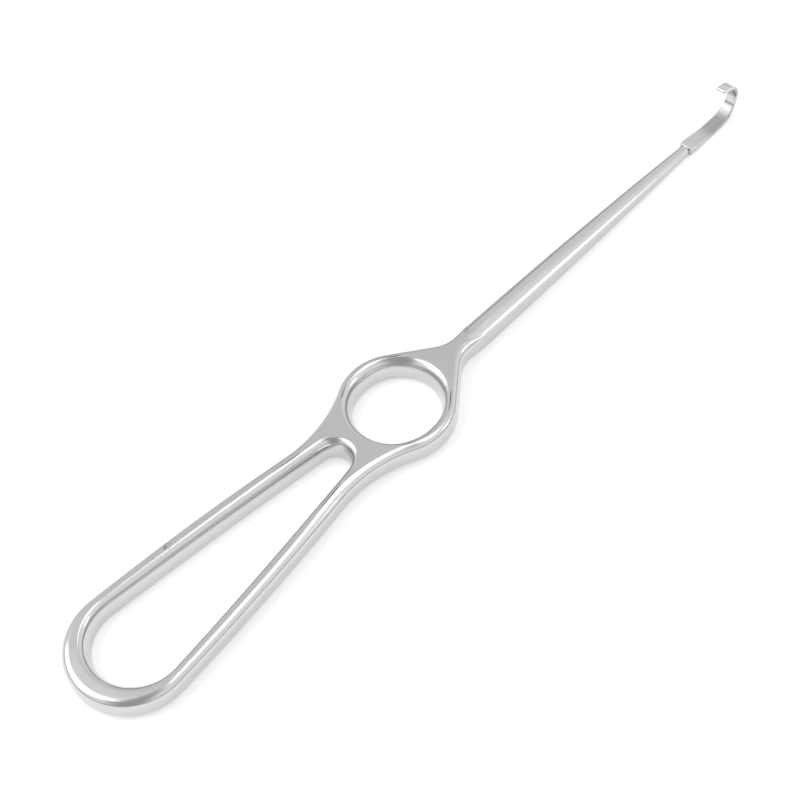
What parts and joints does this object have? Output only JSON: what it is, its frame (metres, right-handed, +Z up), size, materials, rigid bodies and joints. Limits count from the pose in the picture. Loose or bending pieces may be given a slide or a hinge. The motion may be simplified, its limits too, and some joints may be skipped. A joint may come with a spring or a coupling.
{
  "type": "surgical retractor",
  "caption": "One-piece steel hand retractor: a flat teardrop loop handle, a finger ring, a slender tapering barrel-topped shaft and a narrow stepped blade that curls up into a blunt hook.",
  "frame": {"origin": "middle of the bounding box in X and Y, on the plane that the handle's flat underside lies on", "axes": "+X along the shaft towards the blade, +Z up out of the flat handle, the way the blade's hook curls, +Y across the handle"},
  "size_m": [0.22, 0.0282, 0.0126],
  "materials": {
    "satin_steel": "satin, ground and polished"
  },
  "bodies": {
    "root": {"retractor": "satin_steel"}
  },
  "joints": []
}
